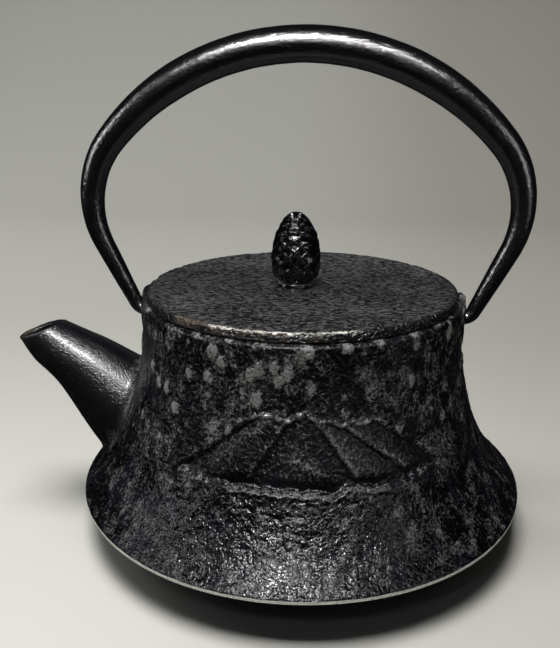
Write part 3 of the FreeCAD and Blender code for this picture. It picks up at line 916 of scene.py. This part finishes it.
def finish_shader(tree, shader, colour, roughness, normal):
    for key, value in (("Base Color", colour), ("Roughness", roughness), ("Normal", normal)):
        tree.links.new(value, shader.inputs[key])


def mark(tree, name):
    """What paint() stored under name."""
    return add(tree, "Attribute", attribute_name=name).outputs["Fac"]


def ramp(tree, value, stops):
    """A colour that runs through stops of (value, colour)."""
    node = add(tree, "ValToRGB", {"Fac": value})
    points = node.color_ramp.elements
    while len(points) < len(stops):
        points.new(0.5)
    for point, (at, colour) in zip(points, stops):
        point.position = at
        point.color = (*colour, 1.0)
    return node.outputs["Color"]


def weighted(tree, *pairs):
    """The sum of values times their weights."""
    total = 0.0
    for value, weight in pairs:
        total = calc(tree, "ADD", total, times(tree, value, weight))
    return total


def spread(tree, value, low=0.36, high=0.64):
    """Stretches a noise texture's narrow range to the whole of 0 to 1."""
    return between(tree, value, low, high)


def body_iron():
    """Black lacquer over a pitted casting, rubbed to satin grey on its high spots; the wear mark also carries the
    relief's painted light and shade, and a painted highlight runs along the skirt's edge.
    """
    material, tree, shader, place = new_material("body_iron", Specular_IOR_Level=0.3)
    fine = spread(tree, noise_node(tree, place, 1150, 4.0, 0.7))
    grain = spread(tree, noise_node(tree, place, 2900, 2.0, 0.6))
    hue = noise_node(tree, place, 60, 2.0)
    height = along_axis(tree, place, "Z")
    shine = mark(tree, "shine")
    # this mix also carries the painted light and shade that casting puts on the relief
    wear = weighted(tree, (mark(tree, "wear_and_light"), 0.66), (fine, 0.52), (grain, 0.30))
    wear = calc(tree, "SUBTRACT", wear, 0.32)
    black, dark, grey, pale = (0.001, 0.001, 0.0015), (0.007, 0.007, 0.008), (0.075, 0.076, 0.077), (0.27, 0.273, 0.276)
    high = ramp(tree, wear, ((0.17, black), (0.36, dark), (0.53, grey), (0.88, pale)))
    # the lowest part is darker
    dark, grey, pale = (0.003, 0.003, 0.004), (0.036, 0.036, 0.039), (0.14, 0.14, 0.145)
    low = ramp(tree, wear, ((0.18, black), (0.39, dark), (0.54, grey), (0.86, pale)))
    colour = mix(tree, between(tree, height, 0.030, 0.042), low, high)
    violet = times(tree, between(tree, hue, 0.48, 0.60), between(tree, wear, 0.45, 0.15))
    colour = mix(tree, times(tree, violet, 0.6), colour, (0.010, 0.008, 0.018))
    # a thin pale line along the skirt's lower edge: a painted highlight of the light from the floor
    radius = add(tree, "VectorMath", {0: stretch(tree, place, (1, 1, 0))}, operation="LENGTH").outputs["Value"]
    edge = between(tree, weighted(tree, (radius, 1.0), (fine, 0.0004)), 0.0748, 0.07515)
    edge = times(tree, edge, between(tree, height, 0.01425, 0.0140))
    colour = mix(tree, times(tree, edge, 0.95), colour, (0.85, 0.84, 0.79))
    matt = weighted(tree, (fine, 0.08), (between(tree, wear, 0.3, 0.7), 0.10), (1.0, 0.28))
    roughness = times(tree, matt, weighted(tree, (shine, -0.42), (1.0, 1.0)))
    dimples = spread(tree, noise_node(tree, place, 850, 1.0, 0.45))
    grit = spread(tree, noise_node(tree, place, 2200, 0.0))
    rise = weighted(tree, (dimples, 1.0), (grit, 0.18), (between(tree, wear, 0.2, 0.8), 0.25))
    strength = between(tree, shine, 1.0, 1.35, 1.0, 0.3)
    finish_shader(tree, shader, colour, roughness, bump(tree, rise, strength, 0.11))
    return material


def enamel():
    """Glossy dark enamel inside the pot, with fine specks."""
    material, tree, shader, place = new_material("enamel", Specular_IOR_Level=0.5, Coat_Weight=0.6, Coat_Roughness=0.08)
    cloud = noise_node(tree, place, 90, 3.0)
    cells = add(tree, "TexVoronoi", {"Vector": place, "Scale": 420}).outputs["Distance"]
    specks = between(tree, cells, 0.08, 0.16, 1.0, 0.0)
    colour = mix(tree, cloud, (0.018, 0.012, 0.009), (0.035, 0.024, 0.018))
    colour = mix(tree, times(tree, specks, 0.35), colour, (0.12, 0.10, 0.08))
    waves = noise_node(tree, place, 160, 2.0)
    roughness = scaled(tree, cloud, 0.12, 0.3)
    finish_shader(tree, shader, colour, roughness, bump(tree, waves, 0.3, 0.3))
    return material


def spout_iron():
    """Finely grained satin black, mottled where it meets the body and brownish at the lip."""
    material, tree, shader, place = new_material("spout_iron", Specular_IOR_Level=0.7)
    fine = spread(tree, noise_node(tree, place, 1900, 3.0, 0.6))
    tone = noise_node(tree, place, 200, 3.0)
    ragged = weighted(tree, (mark(tree, "wear_and_light"), 1.0), (fine, 0.6))
    patch = between(tree, ragged, 0.62, 1.15)
    black = mix(tree, tone, (0.004, 0.004, 0.006), (0.009, 0.009, 0.012))
    colour = mix(tree, times(tree, patch, 0.8), black, (0.10, 0.10, 0.102))
    tip = times(tree, mark(tree, "tip"), between(tree, tone, 0.35, 0.6))
    colour = mix(tree, times(tree, tip, 0.7), colour, (0.085, 0.066, 0.048))
    roughness = scaled(tree, tone, 0.23, 0.29)
    grains = spread(tree, noise_node(tree, place, 1700, 1.0, 0.5))
    finish_shader(tree, shader, colour, roughness, bump(tree, grains, 1.0, 0.055))
    return material


def lacquer(name, peel_scale, peel_height, roughness_range, coat, specular):
    """Deep glossy black lacquer with orange peel, greyer on its rubbed spots, which on the collar are partly a painted
    highlight.
    """
    material, tree, shader, place = new_material(
        name, Specular_IOR_Level=specular, Coat_Weight=coat, Coat_Roughness=0.16, Coat_IOR=1.8
    )
    peel = spread(tree, noise_node(tree, place, peel_scale, 1.0, 0.4))
    grit = spread(tree, noise_node(tree, place, peel_scale * 3.2, 0.0))
    dull = noise_node(tree, place, 120, 3.0)
    colour = mix(tree, dull, (0.0008, 0.0009, 0.0016), (0.0028, 0.0028, 0.0045))
    bare_and_highlight = times(tree, mark(tree, "wear_and_light"), between(tree, peel, 0.2, 0.8))
    colour = mix(tree, bare_and_highlight, colour, (0.40, 0.39, 0.36))
    low, high = roughness_range
    roughness = scaled(tree, dull, low, high)
    uneven = bump(tree, weighted(tree, (peel, 1.0), (grit, 0.45)), 1.0, peel_height)
    tree.links.new(uneven, shader.inputs["Coat Normal"])
    finish_shader(tree, shader, colour, roughness, uneven)
    return material


def lid_iron():
    """Dull black with fine streaky bark, brown along the front of the edge, with a painted highlight line on its top
    corner in front.
    """
    material, tree, shader, place = new_material("lid_iron", Specular_IOR_Level=0.5)
    long = stretch(tree, place, (0.5, 1.0, 1.0))
    bark = spread(tree, noise_node(tree, long, 980, 4.0, 0.68))
    grain = spread(tree, noise_node(tree, long, 2600, 2.0, 0.6))
    tone = noise_node(tree, place, 45, 3.0)
    wide = noise_node(tree, place, 22, 2.0)
    depth = weighted(tree, (bark, 0.60), (grain, 0.40), (tone, 0.5))
    dark = mix(tree, tone, (0.003, 0.003, 0.004), (0.007, 0.007, 0.008))
    light = mix(tree, wide, (0.078, 0.079, 0.087), (0.108, 0.108, 0.102))
    colour = mix(tree, between(tree, depth, 0.70, 1.02), dark, light)
    wear_and_light = times(tree, mark(tree, "brown"), between(tree, noise_node(tree, place, 130, 4.0), 0.34, 0.52))
    brown = mix(tree, grain, (0.03, 0.023, 0.018), (0.19, 0.15, 0.12))
    colour = mix(tree, wear_and_light, mix(tree, mark(tree, "edge"), colour, (0.010, 0.010, 0.011)), brown)
    # a painted highlight: a near-white jagged line on the edge's top corner, in front only
    jagged = spread(tree, noise_node(tree, place, 620, 2.0))
    corner = weighted(tree, (along_axis(tree, place, "Z"), 1.0), (jagged, 0.0005))
    line_up = times(tree, between(tree, corner, 0.0807, 0.0809), between(tree, corner, 0.0813, 0.0811))
    bare_and_highlight = times(tree, mark(tree, "chip_and_highlight"), line_up)
    colour = mix(tree, bare_and_highlight, colour, (0.95, 0.93, 0.87))
    roughness = scaled(tree, bark, 0.24, 0.40)
    ridges = spread(tree, noise_node(tree, long, 1000, 1.0, 0.5))
    finish_shader(tree, shader, colour, roughness, bump(tree, ridges, 1.0, 0.34))
    return material


def steel(name, colour_low, colour_high, roughness_range, scale):
    """Brushed or plain steel."""
    material, tree, shader, place = new_material(name, Metallic=1.0)
    brush = noise_node(tree, stretch(tree, place, (1.0, 1.0, 12.0)), scale, 3.0)
    cloud = noise_node(tree, place, 80, 2.0)
    low, high = roughness_range
    roughness = scaled(tree, brush, low, high)
    finish_shader(tree, shader, mix(tree, cloud, colour_low, colour_high), roughness, bump(tree, brush, 0.3, 0.02))
    return material


def give(thing, material):
    thing.data.materials.clear()
    thing.data.materials.append(material)


# ---- building
knob_black = lacquer("knob_lacquer", 420, 0.045, (0.10, 0.18), coat=0.1, specular=0.4)
basket_steel = steel("basket_steel", (0.55, 0.55, 0.56), (0.68, 0.68, 0.69), (0.18, 0.34), 900)
handle_black = lacquer("handle_lacquer", 1100, 0.035, (0.18, 0.28), coat=1.0, specular=0.8)
pot = make_pot()
for piece, material, node, body, slot in (
    (pot, body_iron(), "pot_shell", "pot", "body_iron"),
    (make_spout(), spout_iron(), "spout", "pot", "spout_iron"),
    (make_handle(), handle_black, "handle_bail", "handle", "handle_iron"),
    (make_lid(), lid_iron(), "lid_plate", "lid", "lid_iron"),
    (make_knob(), knob_black, "lid_knob", "lid", "knob_iron"),
    (make_collar(), knob_black, "knob_collar", "lid", "knob_iron"),
    (make_rim(), basket_steel, "infuser_rim", "infuser", "basket_steel"),
    (make_mesh_wall(), basket_steel, "infuser_wall", "infuser", "basket_steel"),
    (make_mesh_floor(), basket_steel, "infuser_floor", "infuser", "basket_steel"),
    (make_hoop(), basket_steel, "infuser_floor_ring", "infuser", "basket_steel"),
):
    give(piece, material)
    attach(piece, body)
    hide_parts(node)

fastener_steel = steel("fastener_steel", (0.38, 0.37, 0.36), (0.52, 0.51, 0.50), (0.25, 0.45), 600)
for node in ("knob_stud", "knob_washer", "knob_nut"):
    give(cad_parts[node], fastener_steel)

# the pot's inside is enamelled
pot.data.materials.append(enamel())
centres = np.zeros(len(pot.data.polygons) * 3, np.float32)
pot.data.polygons.foreach_get("center", centres)
x, y, height = centres.reshape(-1, 3).T / MM
radius = np.hypot(x, y)
in_cavity = (radius < wall_radius(height) - 1.6) & (height < MOUTH_LOW + 0.5) & (height > 3.5)
in_cavity &= height > table([(0, 3.5), (44, 3.5), (69, 13.5), (75, 30)], radius)
pot.data.polygons.foreach_set("material_index", in_cavity.astype(np.int32))


# ---- the stage, the light and the camera
STAGE_SIDE = 2200.0
STAGE_FRONT = -1800.0
STAGE_BACK = 900.0
STAGE_BEND = 300.0
STAGE_HEIGHT = 1800.0
STAGE_COLOUR = (0.76, 0.755, 0.72)


def sweep(name, curve, colour):
    """A pale sheet that runs through places of (y, z) from side to side."""
    points = [(x, y, z) for y, z in curve for x in (-STAGE_SIDE, STAGE_SIDE)]
    faces = [(2 * i, 2 * i + 1, 2 * i + 3, 2 * i + 2) for i in range(len(curve) - 1)]
    sheet = new_object(name, points, faces)
    material, tree, shader, place = new_material(name, Roughness=0.75, Specular_IOR_Level=0.25)
    blotch = noise_node(tree, place, 9, 4.0)
    near = mix(tree, blotch, tuple(0.93 * c for c in colour), colour)
    # painted shade: the sheet grows darker towards the back and towards the right, as the light falls off there
    far = mix(tree, between(tree, along_axis(tree, place, "Y"), -0.22, 0.24), near, (0.375, 0.375, 0.355))
    right = between(tree, along_axis(tree, place, "X"), -0.08, 0.16, 0.0, 0.45)
    tree.links.new(mix(tree, right, far, (0.25, 0.235, 0.205)), shader.inputs["Base Color"])
    give(sheet, material)
    return sheet


def make_stage():
    """A pale floor, and a backdrop that bends up from it."""
    start = STAGE_BACK - STAGE_BEND
    floor = [(y, 0.0) for y in np.linspace(STAGE_FRONT, start, 30)]
    turns = np.linspace(0, math.pi / 2, 16)
    wall = [(start + STAGE_BEND * math.sin(a), STAGE_BEND - STAGE_BEND * math.cos(a)) for a in turns]
    wall += [(STAGE_BACK, z) for z in np.linspace(STAGE_BEND, STAGE_HEIGHT, 12)[1:]]
    for name, curve in (("stage_floor", floor), ("stage_wall", wall)):
        sweep(name, curve, STAGE_COLOUR).visible_glossy = False


def make_room():
    """A wall all round that glows pale, darker towards the bottom, which only the camera sees: painted light that
    lights nothing.
    """
    room = lathe("stage_room", [(1800.0, -5.0), (1800.0, 2600.0)], 128)
    material, tree, shader, place = new_material("stage_room", Roughness=1.0, Emission_Strength=1.0)
    material.cycles.emission_sampling = "NONE"
    shader.inputs["Base Color"].default_value = (0, 0, 0, 1)
    height = along_axis(tree, place, "Z")
    glow = mix(tree, between(tree, height, -0.2, 0.6), (0.09, 0.09, 0.085), (0.42, 0.42, 0.40))
    tree.links.new(glow, shader.inputs["Emission Color"])
    give(room, material)
    room.visible_diffuse = room.visible_glossy = room.visible_shadow = False


def area_light(name, place, target, size, power, colour=(1, 1, 1)):
    data = bpy.data.lights.new(name, "AREA")
    data.shape = "RECTANGLE"
    data.size, data.size_y = size
    data.energy = power
    data.color = colour
    lamp = bpy.data.objects.new(name, data)
    lamp.location = place
    lamp.rotation_mode = "QUATERNION"
    lamp.rotation_quaternion = (Vector(target) - Vector(place)).to_track_quat("-Z", "Y")
    bpy.context.scene.collection.objects.link(lamp)
    return lamp


def from_angles(azimuth, elevation, distance):
    """A place seen from the pot that many degrees right of the front and above the table."""
    a, e = math.radians(azimuth), math.radians(elevation)
    return (distance * math.sin(a) * math.cos(e), -distance * math.cos(a) * math.cos(e), 0.1 + distance * math.sin(e))


make_stage()
make_room()
overhead = area_light("overhead", (-0.15, 0.0, 1.25), (0, 0, 0.05), (0.6, 0.6), 18.5, (1.0, 0.99, 0.96))
left_fill = area_light("left_fill", (-0.85, 0.45, 0.45), (0, 0, 0.06), (0.5, 0.5), 2.2, (1.0, 0.99, 0.97))
for lamp in (overhead, left_fill):
    lamp.visible_glossy = False
    lamp.visible_camera = False
# lamps that are only seen in shiny surfaces, as a far window is: from where, at what height, size and power
for name, angles, height, size, power in (
    ("front_bar", (0, 42, 1.1), 0.1, (1.2, 0.08), 3.5),
    ("front_window", (-3, 26, 1.0), 0.1, (0.10, 0.5), 0.45),
    ("front_lamp", (-10, 46, 1.1), 0.08, (0.10, 0.10), 14.0),
    ("back_wall", (180, 17, 1.2), 0.09, (1.3, 0.12), 0.16),
    ("side_lamp", (24, 47, 1.1), 0.08, (0.06, 0.06), 2.0),
    ("right_window", (54, 10, 0.5), 0.15, (0.05, 0.26), 0.22),
    ("left_window", (-70, 17, 0.6), 0.12, (0.10, 0.25), 0.65),
):
    lamp = area_light(name, from_angles(*angles), (0, 0, height), size, power)
    lamp.visible_diffuse = False
    lamp.visible_camera = False

scene = bpy.context.scene
world = bpy.data.worlds.new("room")
world.use_nodes = True
background = world.node_tree.nodes["Background"].inputs
background["Color"].default_value = (0.30, 0.31, 0.31, 1)
background["Strength"].default_value = 0.03
scene.world = world
scene.view_settings.view_transform = "Standard"

# the camera was fitted to the teapot's outlines
CAMERA_PLACE = (0.01661, -0.23754, 0.14495)
CAMERA_AIM = (-0.0948, 0.9455, -0.3113)
CAMERA_LENS = 41.11
camera = bpy.data.objects.new("camera", bpy.data.cameras.new("camera"))
camera.data.lens = CAMERA_LENS
camera.data.sensor_width = 36.0
camera.data.clip_start = 0.01
camera.location = CAMERA_PLACE
camera.rotation_mode = "QUATERNION"
camera.rotation_quaternion = Vector(CAMERA_AIM).to_track_quat("-Z", "Y")
scene.collection.objects.link(camera)
scene.camera = camera
